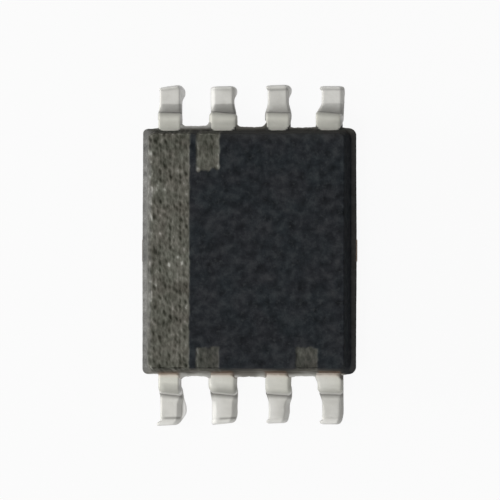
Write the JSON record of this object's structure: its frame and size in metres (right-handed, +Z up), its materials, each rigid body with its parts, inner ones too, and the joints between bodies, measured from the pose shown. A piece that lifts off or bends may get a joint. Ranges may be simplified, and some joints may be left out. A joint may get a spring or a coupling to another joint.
{
  "type": "voltage level translator chip",
  "caption": "Surface-mount level translator chip: a thin black moulded body with drafted walls and gull-wing leads along both long sides, which carries logic signals between two voltages.",
  "frame": {"origin": "centre of the seating plane, under the middle of the body, where the feet meet the board", "axes": "+X along the lead rows, away from the marked pin 1 end; +Y across the rows, towards leads 5 to 8; +Z up from the board"},
  "size_m": [0.002, 0.0032, 0.0008],
  "materials": {
    "mould_compound": "black epoxy moulding, fine mottled grain, laser-etched grey marks",
    "tin_plate": "matte tin plate over copper alloy",
    "lead_frame_copper": "bare stamped copper alloy",
    "die_attach_epoxy": "cured silver-filled epoxy",
    "silicon": "ground and passivated silicon",
    "gold_wire": "drawn gold wire"
  },
  "bodies": {
    "root": {"moulded_body": "mould_compound", "die_pad": "lead_frame_copper", "die_attach": "die_attach_epoxy", "silicon_die": "silicon", "lead_1": "tin_plate", "lead_2": "tin_plate", "lead_3": "tin_plate", "lead_4": "tin_plate", "lead_5": "tin_plate", "lead_6": "tin_plate", "lead_7": "tin_plate", "lead_8": "tin_plate", "bond_wire_1": "gold_wire", "bond_wire_2": "gold_wire", "bond_wire_3": "gold_wire", "bond_wire_4": "gold_wire", "bond_wire_5": "gold_wire", "bond_wire_6": "gold_wire", "bond_wire_7": "gold_wire", "bond_wire_8": "gold_wire"}
  },
  "joints": []
}
